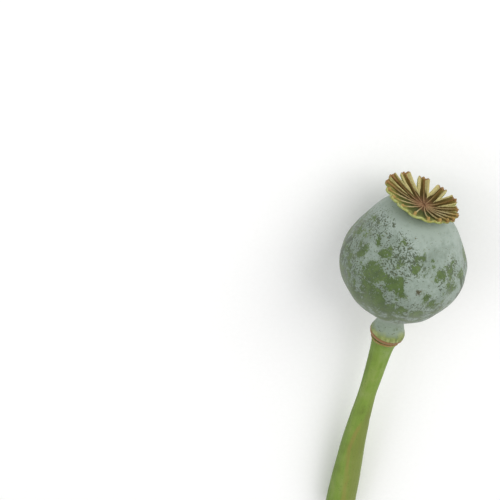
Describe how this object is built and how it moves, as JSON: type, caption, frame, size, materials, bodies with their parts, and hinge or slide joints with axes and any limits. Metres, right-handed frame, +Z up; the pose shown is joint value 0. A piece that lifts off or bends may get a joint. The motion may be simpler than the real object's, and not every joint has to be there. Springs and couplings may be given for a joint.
{
  "type": "poppy seed head",
  "caption": "Unripe poppy seed head lying on its side: round capsule with a waxy bloom, a lobed stigma crown and a length of cut green stem.",
  "frame": {"origin": "centre of the lying head's bounding box, at the surface it rests on", "axes": "+Z up from the surface, the head's length along Y with the crown towards -Y and the stem's cut end towards +Y"},
  "size_m": [0.0454, 0.1502, 0.0448],
  "materials": {
    "waxy_capsule_skin": "matte",
    "dry_stigma_crown": "matte",
    "green_stem_skin": "satin"
  },
  "bodies": {
    "root": {"seed_capsule": "waxy_capsule_skin", "stigma_crown": "dry_stigma_crown", "stem": "green_stem_skin"}
  },
  "joints": []
}
